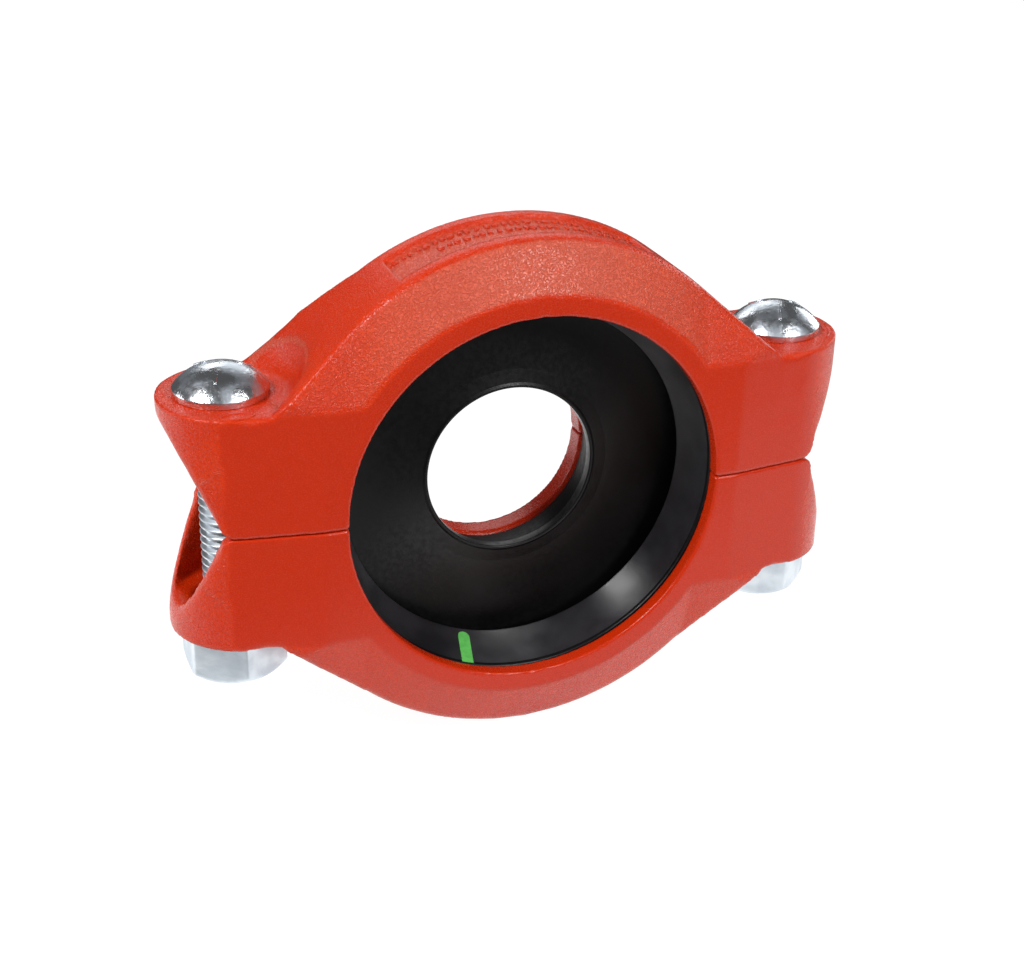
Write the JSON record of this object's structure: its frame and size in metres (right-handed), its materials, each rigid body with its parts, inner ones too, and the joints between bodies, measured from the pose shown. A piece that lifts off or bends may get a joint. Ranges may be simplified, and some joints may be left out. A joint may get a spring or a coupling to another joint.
{
  "type": "grooved reducing coupling",
  "caption": "Two-piece cast pipe clamp that joins a large grooved pipe to a smaller one round a stepped rubber ring, closed by a bolt and nut at each ear.",
  "frame": {"origin": "on the pipe axis, in the plane of the two bolts and of the parting line, which is the centre of the box", "axes": "+X runs from the left bolt to the right one, -Y is the large pipe's side and +Y the small pipe's, +Z runs from the nuts to the bolt heads"},
  "size_m": [0.2036, 0.048, 0.1514],
  "materials": {
    "housing": "grainy cast iron under orange-red enamel",
    "gasket": "smooth moulded black rubber",
    "bolt": "bright zinc plating",
    "nut": "pale matt zinc plating",
    "stripe": "flat green grade stripe"
  },
  "bodies": {
    "lower_half": {"lower_housing": "housing", "gasket": "gasket"},
    "upper_half": {"upper_housing": "housing", "bolt_left": "bolt", "bolt_right": "bolt"},
    "nut_left": {"nut_left": "nut"},
    "nut_right": {"nut_right": "nut"}
  },
  "joints": [
    {"name": "halves_open", "type": "slide", "parent": "lower_half", "child": "upper_half", "axis": [0, 0, 1], "range_m": [0, 0.0115]},
    {"name": "nut_left_turn", "type": "hinge", "parent": "lower_half", "child": "nut_left", "pos_m": [-0.084, 0, -0.042], "axis": [0, 0, -1], "range_deg": [0, 1800]},
    {"name": "nut_right_turn", "type": "hinge", "parent": "lower_half", "child": "nut_right", "pos_m": [0.084, 0, -0.042], "axis": [0, 0, -1], "range_deg": [0, 1800]}
  ],
  "couplings": [
    {"joint": "nut_left_turn", "follows": "halves_open", "rad_per_m": 2721.2},
    {"joint": "nut_right_turn", "follows": "halves_open", "rad_per_m": 2721.2}
  ]
}
